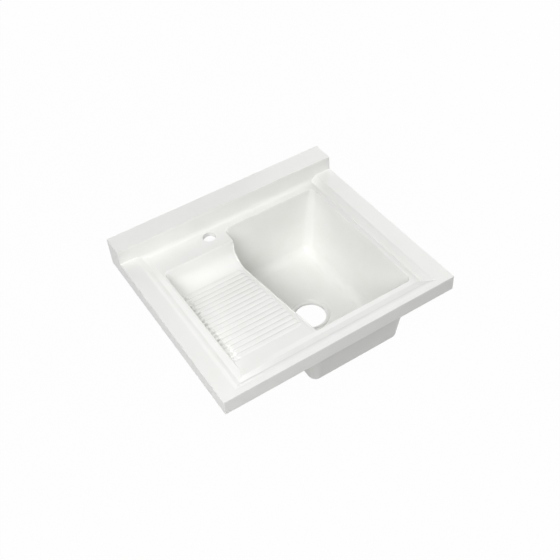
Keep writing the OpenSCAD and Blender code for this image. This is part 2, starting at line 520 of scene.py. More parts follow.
@dataclass(frozen=True)
class CompositeSheet:
    """Mineral-filled acrylic composite, cast and sanded, then buffed to a soft gloss.

    The filler gives a cloudy white with no figure, seen here as a very faint mottle some 60 mm
    wide. Sanding leaves a low sheen that is a little uneven, with a fine peel in the gloss.
    """

    light: str = "FAFAF8"
    dark: str = "F8F8F5"
    roughness: Pair = (0.16, 0.23)
    mottle_mm: float = 60.0
    peel_mm: float = 1.6

    def build(self) -> bpy.types.Material:
        """Makes the material.

        Returns:
            The material.
        """
        material, tree = new_material("acrylic_composite_white")
        place = add_node(tree, "ShaderNodeTexCoord").outputs["Object"]
        cloud = add_node(
            tree, "ShaderNodeTexNoise",
            {"Scale": 1 / (self.mottle_mm * MM), "Detail": 4.0, "Roughness": 0.55}, {"Vector": place},
        )
        colour = ramp(tree, cloud.outputs["Fac"], [(0.32, self.dark), (0.68, self.light)])
        rough = add_node(
            tree, "ShaderNodeMapRange",
            {"From Min": 0.3, "From Max": 0.7, "To Min": self.roughness[0], "To Max": self.roughness[1]},
            {"Value": cloud.outputs["Fac"]},
        )
        peel = add_node(
            tree, "ShaderNodeTexNoise", {"Scale": 1 / (self.peel_mm * MM), "Detail": 2.0}, {"Vector": place}
        )
        bump = add_node(
            tree, "ShaderNodeBump", {"Strength": 0.12, "Distance": 0.02 * MM}, {"Height": peel.outputs["Fac"]}
        )
        shader = add_node(
            tree, "ShaderNodeBsdfPrincipled", {"IOR": 1.49},
            {"Base Color": colour, "Roughness": rough.outputs["Result"], "Normal": bump.outputs["Normal"]},
        )
        add_node(tree, "ShaderNodeOutputMaterial", links={"Surface": shader.outputs["BSDF"]})
        return material


@dataclass(frozen=True)
class BirchPlywood:
    """Birch plywood, rotary cut and unfinished: pale veneer with fine pores, darker glue lines.

    Real plies are about 1.5 mm thick, and the glue lines are drawn twice as far apart to show.
    """

    veneer: str = "D9BE93"
    grain: str = "C4A273"
    glue: str = "8A6A44"
    glue_line_mm: float = 2.96
    grain_mm: float = 2.5

    def build(self) -> bpy.types.Material:
        """Makes the material.

        Returns:
            The material.
        """
        material, tree = new_material("birch_plywood")
        place = add_node(tree, "ShaderNodeTexCoord").outputs["Object"]
        stretched = add_node(tree, "ShaderNodeMapping", {"Scale": (0.08, 1.0, 1.0)}, {"Vector": place})
        pores = add_node(
            tree, "ShaderNodeTexNoise",
            {"Scale": 1 / (self.grain_mm * MM), "Detail": 5.0, "Roughness": 0.6},
            {"Vector": stretched.outputs["Vector"]},
        )
        wood = ramp(tree, pores.outputs["Fac"], [(0.35, self.grain), (0.65, self.veneer)])
        wave = add_node(
            tree, "ShaderNodeTexWave",
            {"bands_direction": "Z", "wave_profile": "SIN", "Scale": band_scale(self.glue_line_mm),
             "Distortion": 0.4, "Detail": 1.0, "Detail Scale": 2.0},
            {"Vector": place},
        )
        lines = add_node(
            tree, "ShaderNodeMapRange", {"From Min": 0.86, "From Max": 0.98, "To Min": 0.0, "To Max": 0.7},
            {"Value": wave.outputs["Fac"]},
        )
        # A mix node's colour sockets share their names with its others, so they go by number.
        mix = add_node(tree, "ShaderNodeMix", {"data_type": "RGBA"}, {"Factor": lines.outputs["Result"]})
        tree.links.new(wood, mix.inputs[6])
        mix.inputs[7].default_value = linear(self.glue)
        bump = add_node(
            tree, "ShaderNodeBump", {"Strength": 0.3, "Distance": 0.1 * MM}, {"Height": pores.outputs["Fac"]}
        )
        shader = add_node(
            tree, "ShaderNodeBsdfPrincipled", {"Roughness": 0.72, "IOR": 1.45},
            {"Base Color": mix.outputs[2], "Normal": bump.outputs["Normal"]},
        )
        add_node(tree, "ShaderNodeOutputMaterial", links={"Surface": shader.outputs["BSDF"]})
        return material


@dataclass(frozen=True)
class TurnedBrass:
    """Free-machining brass, turned: a dull yellow metal with fine rings from the tool.

    Real rings are about 0.2 mm apart, and they are drawn coarser to show.
    """

    light: str = "D8B76A"
    dark: str = "B8924A"
    ring_mm: float = 0.99
    stain_mm: float = 10 / 3

    def build(self) -> bpy.types.Material:
        """Makes the material.

        Returns:
            The material.
        """
        material, tree = new_material("turned_brass")
        place = add_node(tree, "ShaderNodeTexCoord").outputs["Object"]
        rings = add_node(
            tree, "ShaderNodeTexWave", {"bands_direction": "Z", "Scale": band_scale(self.ring_mm)},
            {"Vector": place},
        )
        stain = add_node(
            tree, "ShaderNodeTexNoise", {"Scale": 1 / (self.stain_mm * MM), "Detail": 3.0}, {"Vector": place}
        )
        colour = ramp(tree, stain.outputs["Fac"], [(0.35, self.dark), (0.65, self.light)])
        bump = add_node(
            tree, "ShaderNodeBump", {"Strength": 0.2, "Distance": 0.02 * MM}, {"Height": rings.outputs["Fac"]}
        )
        shader = add_node(
            tree, "ShaderNodeBsdfPrincipled", {"Metallic": 1.0, "Roughness": 0.32},
            {"Base Color": colour, "Normal": bump.outputs["Normal"]},
        )
        add_node(tree, "ShaderNodeOutputMaterial", links={"Surface": shader.outputs["BSDF"]})
        return material


# Sub-assemblies


def dress(obj: bpy.types.Object, slot: str, *nodes: str) -> None:
    """Makes a piece ride on the body and stand for its nodes.

    Args:
        obj: The piece.
        slot: Not used.
        nodes: The nodes that it stands for.
    """
    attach(obj, BODY)
    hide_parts(*nodes)


@dataclass(frozen=True)
class Rim:
    """The raised border and the downturned edge round the deck.

    crest and right_crest are the roundings at the top of the slopes, hollow_r is the hollow at the
    foot of the left and the front slope, and step is the upright step at the foot of the right one.
    """

    crest: float = 10.0
    right_crest: float = 1.2
    hollow_r: float = 27.0
    step: float = 1.5
    steps: int = 4

    def profile(self, border: float, hollow: bool) -> list[Pair]:
        """Outline of a border, from the deck's level up the slope to the apron.

        Args:
            border: Distance from the outside to the slope's top.
            hollow: True where the slope runs out into the deck in a hollow, False where it ends in
                a small upright step.

        Returns:
            The outline, with its first axis counted inwards from the outside.
        """
        turn_all = math.atan2(TOP.recess, TOP.slope)
        radius = self.hollow_r if hollow else 0.0
        toe = border + TOP.slope + radius * math.tan(turn_all / 2)
        foot = [(toe, TOP.deck), (toe, TOP.deck + self.step)]
        if hollow:
            turns = [turn_all * k / self.steps for k in range(self.steps + 1)]
            foot = [(toe - radius * math.sin(t), TOP.deck + radius * (1 - math.cos(t))) for t in turns]
        return [(TOP.sheet, TOP.deck), *foot, (border, 0.0), (TOP.sheet, 0.0)]

    def side_prism(self, left: bool) -> Solid:
        """Border of one side, with its slope down to the deck.

        Args:
            left: True for the left side.

        Returns:
            The border, mitred at the front.
        """
        outline = self.profile(TOP.side_border, hollow=left)
        crest_x = TOP.side_border
        if not left:
            outline = [(TOP.width - x, z) for x, z in outline]
            crest_x = TOP.width - crest_x
        solid = Solid.prism(outline, Along.Y, TOP.sheet, TOP.upstand_front)
        solid.rounded(edge_on(x=crest_x, z=0.0), self.crest if left else self.right_crest, self.steps)
        normal, point = self.mitre(left)
        return solid.sliced(normal, point, keep_below=True)

    def mitre(self, left: bool) -> tuple[Vector, Vector]:
        """Upright plane of the mitre at one front corner.

        Args:
            left: True for the left corner.

        Returns:
            The direction square to the plane, which faces the front border, and a point of it.
        """
        if left:
            return Vector((1, -1, 0)), Vector((TOP.side_border, TOP.front_border, 0))
        return Vector((-1, -1, 0)), Vector((TOP.width - TOP.side_border, TOP.front_border, 0))

    def front_prism(self) -> Solid:
        """Front border, mitred to the side borders.

        Returns:
            The border.
        """
        outline = self.profile(TOP.front_border, hollow=True)
        solid = Solid.prism(outline, Along.X, TOP.sheet, TOP.width - TOP.sheet)
        solid.rounded(edge_on(y=TOP.front_border, z=0.0), self.crest, self.steps)
        for left in (True, False):
            normal, point = self.mitre(left)
            solid.sliced(-normal, point, keep_below=True)
        return solid

    def side_apron(self, left: bool) -> Solid:
        """Downturned edge of one side, up to the wall.

        Args:
            left: True for the left side.

        Returns:
            The edge.
        """
        outer, inner = (0.0, TOP.sheet) if left else (TOP.width, TOP.width - TOP.sheet)
        low = (min(outer, inner), 0.0, -TOP.apron)
        high = (max(outer, inner), TOP.depth, 0.0)
        solid = Solid.block(low, high).sliced((0, 1, 0), (0, TOP.upstand_front, 0))

        def on_arris(edge: bmesh.types.BMEdge) -> bool:
            """The top edge stays square under the upstand's end."""
            front = all(v.co.y < TOP.upstand_front + SEAM_TOLERANCE for v in edge.verts)
            return front and edge_on(x=outer, z=0.0)(edge)

        edges = any_of(
            on_arris, edge_on(x=outer, z=-TOP.apron), edge_on(x=outer, y=0.0),
            edge_on(x=outer, y=TOP.depth), edge_on(y=0.0, z=0.0), edge_on(y=0.0, z=-TOP.apron),
        )
        return solid.rounded(edges, TOP.arris, self.steps)

    def front_apron(self) -> Solid:
        """Downturned edge along the front.

        Returns:
            The edge.
        """
        solid = Solid.block((TOP.sheet, 0, -TOP.apron), (TOP.width - TOP.sheet, TOP.sheet, 0))
        edges = any_of(edge_on(y=0.0, z=0.0), edge_on(y=0.0, z=-TOP.apron))
        return solid.rounded(edges, TOP.arris, self.steps)

    def build(self, material: bpy.types.Material) -> None:
        """Makes the six pieces of the rim.

        Args:
            material: The composite.
        """
        shapes = {
            "border_left": self.side_prism(True),
            "border_right": self.side_prism(False),
            "border_front": self.front_prism(),
            "apron_left": self.side_apron(True),
            "apron_right": self.side_apron(False),
            "apron_front": self.front_apron(),
        }
        for node, solid in shapes.items():
            dress(solid.piece(f"{node}_shaped", material), "composite", node)


@dataclass(frozen=True)
class Upstand:
    """The thick low upstand at the wall, with the hollow corner at its foot."""

    cove_steps: int = 10
    steps: int = 4
    overlap: float = 1.0

    def end(self, left: bool) -> Solid:
        """Closing piece at one end.

        Args:
            left: True for the left end.

        Returns:
            The piece.
        """
        outer, inner = (0.0, TOP.sheet) if left else (TOP.width, TOP.width - TOP.sheet)
        low = (min(outer, inner), TOP.upstand_front, 0.0)
        high = (max(outer, inner), TOP.depth, TOP.upstand)
        edges = any_of(
            edge_on(x=outer, z=TOP.upstand), edge_on(y=TOP.upstand_front, z=TOP.upstand),
            edge_on(y=TOP.depth, z=TOP.upstand), edge_on(x=outer, y=TOP.upstand_front),
            edge_on(x=outer, y=TOP.depth),
        )
        return Solid.block(low, high).rounded(edges, TOP.arris, self.steps)

    def cap(self) -> Solid:
        """Top sheet of the upstand.

        Returns:
            The sheet.
        """
        low = (TOP.sheet, TOP.upstand_front, TOP.upstand - TOP.sheet)
        high = (TOP.width - TOP.sheet, TOP.depth, TOP.upstand)
        edges = any_of(edge_on(y=TOP.upstand_front, z=TOP.upstand), edge_on(y=TOP.depth, z=TOP.upstand))
        return Solid.block(low, high).rounded(edges, TOP.arris, self.steps)

    def face(self) -> Solid:
        """Front sheet of the upstand.

        Returns:
            The sheet.
        """
        low = (TOP.sheet, TOP.upstand_front, TOP.deck + TOP.cove)
        high = (TOP.width - TOP.sheet, TOP.upstand_front + TOP.sheet, TOP.upstand - TOP.sheet)
        return Solid.block(low, high)

    def back(self) -> Solid:
        """Back sheet, down to the apron's foot.

        Returns:
            The sheet.
        """
        low = (TOP.sheet, TOP.depth - TOP.sheet, -TOP.apron)
        high = (TOP.width - TOP.sheet, TOP.depth, TOP.upstand - TOP.sheet)
        return Solid.block(low, high).rounded(edge_on(y=TOP.depth, z=-TOP.apron), TOP.arris, self.steps)

    def cove(self) -> Solid:
        """Strip with the hollow corner between the deck and the upstand.

        Returns:
            The strip.
        """
        start, top, rear = TOP.upstand_front - TOP.cove, TOP.deck + TOP.cove, TOP.upstand_front + TOP.sheet
        outline = [(start, TOP.under), (rear, TOP.under), (rear, top)]
        for turn in quarter(self.cove_steps):
            outline.append((start + TOP.cove * math.cos(turn), top - TOP.cove * math.sin(turn)))
        inset = TOP.side_border - self.overlap
        return Solid.prism(outline, Along.X, inset, TOP.width - inset)

    def build(self, material: bpy.types.Material) -> None:
        """Makes the six pieces of the upstand.

        Args:
            material: The composite.
        """
        shapes = {
            "upstand_end_left": self.end(True),
            "upstand_end_right": self.end(False),
            "upstand_cap": self.cap(),
            "upstand_face": self.face(),
            "back_panel": self.back(),
            "cove_strip": self.cove(),
        }
        for node, solid in shapes.items():
            dress(solid.piece(f"{node}_shaped", material), "composite", node)


@dataclass(frozen=True)
class BowlSizes:
    """Sizes of the bowl and its drain.

    lean holds how far the left, right, front and back walls have moved at the floor, in X or Y.
    """

    x0: float = 265.0
    x1: float = 527.0
    y0: float = 59.0
    y1: float = 456.0
    floor: float = -210.0
    wall: float = 10.0
    mouth_r: float = 14.0
    floor_r: float = 24.0
    outer_corner_r: float = 26.0
    outer_foot_r: float = 22.0
    lean: tuple[float, float, float, float] = (4.0, -24.0, 23.0, -6.0)
    drain: Pair = (376.0, 253.0)
    drain_r: float = 40.0
    dish_r: float = 49.0
    dish: float = 4.0
    flange: float = 13.0
    flange_t: float = 8.0

    def level(self, z: float, grow: float = 0.0) -> Level:
        """Rectangle of the walls' inner face at one height.

        Args:
            z: The height.
            grow: How far the rectangle is moved out from the inner face.

        Returns:
            The rectangle.
        """
        part = (TOP.deck - z) / (TOP.deck - self.floor)
        left, right, front, back = (lean * part for lean in self.lean)
        return Level(
            self.x0 + left - grow, self.x1 + right + grow, self.y0 + front - grow, self.y1 + back + grow, z
        )


BOWL = BowlSizes()


@dataclass(frozen=True)
class BoardSizes:
    """Sizes of the washboard and its pocket.

    Places across the board are X, and a run is a distance down its face from the front edge.
    rib_left holds the left ends of the first and the last rib, gutter where the gutter's floor
    ends and where its side meets the face, bead the bead's two sides, and crease the middle of the
    crease with half its width. The gutter moves right by gutter_shift over gutter_run. scallop
    holds the scallops' depth at the first groove and from scallop_lead past it. The crease is
    deepest half way along crease_run. A rib's left end is as long as its radius over rib_squash.
    """

    left: float = 75.0
    right: float = 265.0
    front: float = 59.0
    back: float = 409.0
    slope: float = 11.1
    lean: float = 5.0
    bend_r: float = 38.0
    corner_r: float = 14.0
    foot_r: float = 2.5
    lip_r: float = 1.4
    rib_first: float = 44.0
    rib_pitch: float = 16.5
    ribs: int = 17
    rib_w: float = 14.0
    rib_h: float = 2.0
    rib_left: Pair = (89.0, 91.0)
    rib_right: float = 252.5
    rib_squash: float = 2.0
    gutter: Pair = (90.0, 95.5)
    gutter_depth: float = 0.8
    gutter_shift: float = 9.0
    gutter_run: Pair = (215.0, 245.0)
    scallop: Pair = (2.5, 9.5)
    scallop_lead: float = 100.0
    crease: Pair = (83.2, 1.2)
    crease_run: Pair = (20.0, 110.0)
    crease_depth: float = 1.8
    bead: Pair = (260.0, 264.0)
    bead_h: float = 1.3

    @property
    def down(self) -> Vector:
        """Direction down the board, in Y and Z."""
        turn = math.radians(self.slope)
        return Vector((math.cos(turn), -math.sin(turn)))

    @property
    def board_up(self) -> Vector:
        """Direction square to the board, in Y and Z."""
        turn = math.radians(self.slope)
        return Vector((math.sin(turn), math.cos(turn)))

    @property
    def wall_out(self) -> Vector:
        """Direction square to the back wall, into the pocket."""
        turn = math.radians(self.lean)
        return Vector((-math.cos(turn), math.sin(turn)))

    @property
    def bend_turn(self) -> float:
        """Angle that the bend turns through."""
        return math.radians(90 + self.slope - self.lean)

    @property
    def bend(self) -> Vector:
        """Centre of the bend, one radius away from the board and from the back wall.

        Returns:
            The centre, in Y and Z.
        """
        a, b = self.board_up, self.wall_out
        p = a.dot(Vector((self.front, TOP.deck))) + self.bend_r
        q = b.dot(Vector((self.back, TOP.deck))) + self.bend_r
        det = a.x * b.y - a.y * b.x
        return Vector(((p * b.y - q * a.y) / det, (a.x * q - b.x * p) / det))

    @property
    def length(self) -> float:
        """Length of the board's flat slope."""
        end = self.bend - self.bend_r * self.board_up
        return (end - Vector((self.front, TOP.deck))).length


BOARD = BoardSizes()


@dataclass(frozen=True)
class Station:
    """One cross-section of the washboard: a point of its face, with the way out and the way on."""

    at: Vector
    out: Vector
    on: Vector
    run: float
    corner: float

    def point(self, x: float, height: float, level: tuple[int, float] | None = None) -> Vector:
        """Point of the section.

        Args:
            x: Place across the board.
            height: Height above the board's face.
            level: An axis of the section, 0 for Y or 1 for Z, and the plane that the point is slid
                up to where it falls short of it.

        Returns:
            The point.
        """
        p = self.at + height * self.out
        if level is not None:
            axis, plane = level
            if p[axis] < plane:
                p = p + self.on * ((plane - p[axis]) / self.on[axis])
        return Vector((x, p.x, p.y))


@dataclass(frozen=True)
class Washboard:
    """The bent sheet with the ribs, its hollow back wall and the pocket's left wall.

    columns holds the places across the board in groups, each with its first place, its pitch and
    its number. Between the two places of squeeze they close up as the left corner grows. The
    corner's foot grows by fade for each millimetre of depth, up to its radius. The pocket's space
    has a reach into the bowl's mouth. On the underside the sheet has two more columns and a small
    chamfer, and one column on its right edge. The side wall takes one station in side_every from
    side_drop below the deck's underside, and starts side_lead in front of the first one.
    """

    rib_rows: int = 14
    bend_rows: int = 22
    wall_rows: int = 3
    fillet_steps: int = 8
    corner_steps: int = 12
    sheet: float = TOP.sheet
    fade: float = 0.3
    reach: float = 0.4
    columns: tuple[tuple[float, float, int], ...] = (
        (82.0, 1.2, 4), (86.8, 0.8, 16), (99.6, 0.9, 11), (114.0, 16.0, 2), (155.0, 25.0, 3),
        (225.0, 12.0, 2), (241.0, 1.1, 13), (257.0, 3.0, 2), (260.7, 0.7, 2), (262.0, 0.7, 3),
    )
    squeeze: Pair = (81.0, 104.0)
    under_columns: Pair = (200.0, 130.0)
    under_chamfer: float = 1.0
    edge_column: float = 4.0
    side_every: int = 4
    side_drop: float = 0.5
    side_lead: float = 3.0

    def corner(self, run: float) -> float:
        """Radius of the inner corner at the left wall.

        Args:
            run: Distance along the face.

        Returns:
            The radius.
        """
        depth = run * math.sin(math.radians(BOARD.slope))
        shallow = min(BOARD.foot_r, self.fade * depth)
        part = smooth((run - BOARD.length) / (BOARD.bend_r * BOARD.bend_turn))
        return shallow + (BOARD.corner_r - shallow) * part

    def stations(self) -> list[Station]:
        """Sections from the board's front to the top of its back wall.

        Returns:
            The sections of the flat slope, of the bend and of the back wall.
        """
        found: list[Station] = []
        count = math.ceil(BOARD.length / (BOARD.rib_pitch / self.rib_rows))
        start = Vector((BOARD.front, TOP.deck))
        for k in range(count + 1):
            run = BOARD.length * k / count
            found.append(Station(start + run * BOARD.down, BOARD.board_up, BOARD.down, run, self.corner(run)))
        for k in range(1, self.bend_rows + 1):
            turn = math.radians(-90 - BOARD.slope) + BOARD.bend_turn * k / self.bend_rows
            ray = Vector((math.cos(turn), math.sin(turn)))
            on = Vector((-ray.y, ray.x))
            run = BOARD.length + BOARD.bend_r * BOARD.bend_turn * k / self.bend_rows
            found.append(Station(BOARD.bend + BOARD.bend_r * ray, -ray, on, run, self.corner(run)))
        foot = found[-1]
        rise = (TOP.under - foot.at.y) / foot.on.y
        for k in range(1, self.wall_rows + 1):
            up = rise * k / self.wall_rows
            run = foot.run + up
            found.append(Station(foot.at + foot.on * up, foot.out, foot.on, run, self.corner(run)))
        return found

    def across(self) -> list[float]:
        """Places across the board, close together at the ribs' ends and on the bead."""
        return [start + pitch * k for start, pitch, count in self.columns for k in range(count)]

    def rib(self, x: float, run: float) -> float:
        """Height of the ribs above the board at one point.

        Args:
            x: Place across the board.
            run: Distance along the face.

        Returns:
            The height, 0 between the ribs.
        """
        k = round((run - BOARD.rib_first) / BOARD.rib_pitch)
        if not 0 <= k < BOARD.ribs:
            return 0.0
        radius = BOARD.rib_w / 2
        first, last = BOARD.rib_left
        low = first + (last - first) * k / (BOARD.ribs - 1) + radius / BOARD.rib_squash
        high = BOARD.rib_right - radius
        over = max(BOARD.rib_squash * (low - x), x - high, 0.0)
        away = math.hypot(over, run - BOARD.rib_first - k * BOARD.rib_pitch) / radius
        return BOARD.rib_h * math.sqrt(max(1 - away**2, 0.0)) if away < 1 else 0.0

    def gutter(self, x: float, run: float) -> float:
        """Depth of the gutter beside the ribs' left ends, with a scallop at each groove.

        Args:
            x: Place across the board.
            run: Distance along the face.

        Returns:
            The depth below the face.
        """
        pitch = BOARD.rib_pitch
        first = BOARD.rib_first - pitch / 2
        last = first + BOARD.ribs * pitch
        ends = min((run - first + pitch / 2) / pitch, (last + pitch / 2 - run) / pitch, 1.0)
        start, stop = BOARD.gutter_run
        shift = BOARD.gutter_shift * smooth((run - start) / (stop - start))
        low, high = BOARD.gutter
        part = smooth((high + shift - x) / (high - low))
        shallow, deep = BOARD.scallop
        scallop = shallow + (deep - shallow) * smooth((run - first) / BOARD.scallop_lead)
        wave = max(math.cos(math.tau * (run - first) / pitch), 0.0)
        return (BOARD.gutter_depth + scallop * wave) * part * max(ends, 0.0)

    def relief(self, x: float, run: float) -> float:
        """Height of the face above the board's plane: ribs, side gutter, edge bead and front crease.

        Args:
            x: Place across the board.
            run: Distance along the face.

        Returns:
            The height, negative in the gutter and the crease.
        """
        low, high = BOARD.bead
        across = (2 * x - low - high) / (high - low)
        bead = BOARD.bead_h * max(1 - across**2, 0.0) * min(run / BOARD.rib_pitch, 1.0)
        middle, half = BOARD.crease
        start, end = BOARD.crease_run
        along = (2 * run - start - end) / (end - start)
        crease = BOARD.crease_depth * max(1 - abs(x - middle) / half, 0.0) * max(1 - along**2, 0.0)
        return self.rib(x, run) + bead - self.gutter(x, run) - crease

    def section(self, station: Station, level: tuple[int, float] | None) -> list[Vector]:
        """Closed loop of points round the sheet at one station.

        Args:
            station: The station.
            level: The axis and the plane that the points are slid up to, as in Station.point.

        Returns:
            The points, from the left wall across the face and back along the underside.
        """
        r, lip, t = station.corner, BOARD.lip_r, self.sheet
        turns = quarter(self.fillet_steps)
        start = BOARD.left + r
        pairs = [(start - r * math.cos(turn), r - r * math.sin(turn)) for turn in turns]
        first, fixed = self.squeeze
        for x in self.across():
            if x < fixed:
                x = start + (x - first) * (fixed - start) / (fixed - first)
            pairs.append((x, self.relief(x, station.run)))
        pairs += [(BOARD.right - lip + lip * math.sin(turn), lip * (math.cos(turn) - 1)) for turn in turns]
        pairs += [(BOARD.right, self.edge_column - t), (BOARD.right, self.under_chamfer - t)]
        pairs += [(x, -t) for x in (BOARD.right - self.under_chamfer, *self.under_columns, BOARD.left - t)]
        pairs.append((BOARD.left - t, r))
        return [station.point(x, height, level) for x, height in pairs]

    def board(self) -> Solid:
        """The bent sheet.

        Returns:
            The sheet, with its top end level under the deck.
        """
        stations = self.stations()
        rows = [self.section(s, (0, BOARD.front)) for s in stations[:-1]]
        rows.append([Vector((p.x, p.y, TOP.under)) for p in self.section(stations[-1], None)])
        return Solid.loft(rows, ring=False)

    def side_wall(self) -> Solid:
        """The pocket's left wall, on the board's edge and under the deck.

        Returns:
            The wall.
        """
        edge = [s.at + s.corner * s.out for s in self.stations()]
        low = [(p.x, p.y) for p in edge if p.y < TOP.under - self.side_drop][:: self.side_every]
        outline = [(low[0][0] - self.side_lead, TOP.under), *low, (low[-1][0], TOP.under)]
        return Solid.prism(outline, Along.X, BOARD.left - self.sheet, BOARD.left)

    def air(self, low: float, high: float) -> Solid:
        """Space of the pocket between two heights, with its round corner at the back left.

        Args:
            low: Height of the space's foot.
            high: Height of its top.

        Returns:
            The space.
        """
        right, lean = BOARD.right + self.reach, math.tan(math.radians(BOARD.lean))
        foot, head = (
            Level(BOARD.left, right, BOARD.front, BOARD.back + (z - TOP.deck) * lean, z) for z in (low, high)
        )
        half_way = (BOARD.front + BOARD.back) / 2

        def back_left(edge: bmesh.types.BMEdge) -> bool:
            """The upright edge at the back left."""
            at_left = all(is_near(v.co.x, BOARD.left) and v.co.y > half_way for v in edge.verts)
            return at_left and is_upright(edge)

        return Solid.tapered(foot, head).rounded(back_left, BOARD.corner_r, self.corner_steps)

    def build(self, material: bpy.types.Material) -> None:
        """Makes the washboard and the pocket's left wall.

        Args:
            material: The composite.
        """
        board = self.board().piece("washboard_panel_shaped", material, CURVED_CREASE)
        dress(board, "composite", "washboard_panel")
        dress(self.side_wall().piece("pocket_side_wall_shaped", material), "composite", "pocket_side_wall")


@dataclass(frozen=True)
class Bowl:
    """The deep bowl, with its rounded floor, drain and the flange that bonds it to the deck.

    dish_edge and drain_edge are the soft edges of the dish and of the drain, as distances out from
    the dish's or the drain's radius and up from the floor of the bowl or of the dish. floor_ring
    and under_ring are the widths of the flat rings round the dish and, below, round the drain. The
    space for the board reaches space_in into the bowl, space_back past the board's top end and
    space_rise above the deck's underside.
    """

    corner_points: int = 12
    side_points: int = 14
    side_rows: int = 10
    fillet_steps: int = 10
    floor_rows: int = 6
    under_rows: int = 4
    least_r: float = 0.4
    floor_ring: float = 3.0
    under_ring: float = 8.0
    dish_edge: tuple[Pair, ...] = (
        (1.6, -0.25), (0.6, -1.0), (-0.6, -2.4), (-1.8, -3.5), (-3.6, -BOWL.dish),
    )
    drain_edge: tuple[Pair, ...] = ((1.2, 0.0), (0.35, -0.35), (0.0, -1.2))
    space_every: int = 3
    space_in: float = 8.0
    space_back: float = 0.5
    space_rise: float = 5.0

    def loop(self, level: Level, radius: float, z: float) -> list[Vector]:
        """Rounded rectangle of points at one height.

        Args:
            level: The rectangle.
            radius: Radius of its corners.
            z: The height.

        Returns:
            The points, anticlockwise from above, from the back end of the right side.
        """
        x0, x1, y0, y1 = level.x0 + radius, level.x1 - radius, level.y0 + radius, level.y1 - radius
        steps = range(self.corner_points + 1)
        arcs = [
            [polar(centre, radius, math.radians(90 * index + 90 * k / self.corner_points), z) for k in steps]
            for index, centre in enumerate(((x1, y1), (x0, y1), (x0, y0), (x1, y0)))
        ]
        points: list[Vector] = []
        for arc, after in zip(arcs, arcs[1:] + arcs[:1]):
            side = [arc[-1].lerp(after[0], k / self.side_points) for k in range(1, self.side_points)]
            points += arc + side
        return points

    def circle(self, like: Sequence[Vector], radius: float, z: float) -> list[Vector]:
        """Circle round the drain, its points in line with those of a loop.

        Args:
            like: The loop.
            radius: The circle's radius.
            z: Its height.

        Returns:
            The points.
        """
        x, y = BOWL.drain
        return [polar(BOWL.drain, radius, math.atan2(p.y - y, p.x - x), z) for p in like]

    def wall_rows(self, grow: float, corner: float, fillet: float, top: float) -> list[list[Vector]]:
        """Rows down a wall and round its foot, from the top to the flat of the floor.

        Args:
            grow: How far the wall lies outside the inner face.
            corner: Radius of the upright corners at the mouth.
            fillet: Radius at the foot.
            top: Height of the first row.

        Returns:
            The rows.
        """
        floor = BOWL.floor - grow
        rows: list[list[Vector]] = []
        for k in range(self.side_rows + 1):
            z = top + (floor + fillet - top) * k / self.side_rows
            part = (TOP.deck - z) / (TOP.deck - BOWL.floor)
            rows.append(self.loop(BOWL.level(z, grow), corner + (fillet - corner) * part, z))
        foot = BOWL.level(floor + fillet, grow)
        for turn in quarter(self.fillet_steps)[1:]:
            inset = fillet * (1 - math.cos(turn))
            z = floor + fillet - fillet * math.sin(turn)
            level = Level(foot.x0 + inset, foot.x1 - inset, foot.y0 + inset, foot.y1 - inset, z)
            rows.append(self.loop(level, max(fillet - inset, self.least_r), z))
        return rows

    def shell(self) -> Solid:
        """The whole bowl, before the washboard's side is cut open.

        Returns:
            The bowl: its rows run down inside, through the drain, up outside and over the flange.
        """
        ledge, foot, dish = TOP.under - BOWL.flange_t, BOWL.floor - BOWL.wall, BOWL.floor - BOWL.dish
        rows = self.wall_rows(0.0, BOWL.mouth_r, BOWL.floor_r, TOP.under)
        outer = self.wall_rows(BOWL.wall, BOWL.outer_corner_r, BOWL.outer_foot_r, ledge)
        flat, under = rows[-1], outer[-1]
        ring = self.circle(flat, BOWL.dish_r + self.floor_ring, BOWL.floor)
        rows += [blend(flat, ring, k / self.floor_rows) for k in range(1, self.floor_rows + 1)]
        rows += [self.circle(flat, BOWL.dish_r + out, BOWL.floor + up) for out, up in self.dish_edge]
        rows += [self.circle(flat, BOWL.drain_r + out, dish + up) for out, up in self.drain_edge]
        rows.append(self.circle(flat, BOWL.drain_r, foot))
        hole = self.circle(under, BOWL.drain_r + self.under_ring, foot)
        rows += [blend(hole, under, k / self.under_rows) for k in range(self.under_rows)]
        rows += outer[::-1]
        edge = BOWL.level(ledge, BOWL.flange)
        radius = BOWL.outer_corner_r + BOWL.flange - BOWL.wall
        rows += [self.loop(edge, radius, z) for z in (ledge, TOP.under)]
        return Solid.loft(rows, ring=True)

    def board_space(self) -> Solid:
        """Space that the washboard and the air above it take out of the bowl's side.

        Returns:
            The space.
        """
        board = Washboard()
        line = [s.point(0.0, -board.sheet) for s in board.stations()][:: self.space_every]
        outline = [(p.y, p.z) for p in line]
        outline[0] = (BOARD.front, outline[0][1])
        top = TOP.under + self.space_rise
        outline += [(outline[-1][0] + self.space_back, top), (BOARD.front, top)]
        return Solid.prism(outline, Along.X, BOWL.x0 - 2 * BOWL.flange, BOWL.x0 + self.space_in)

    def build(self, material: bpy.types.Material) -> None:
        """Makes the bowl."""
        solid = self.shell().without(self.board_space())
        dress(solid.piece("bowl_shell_shaped", material, CURVED_CREASE), "composite", "bowl_shell")


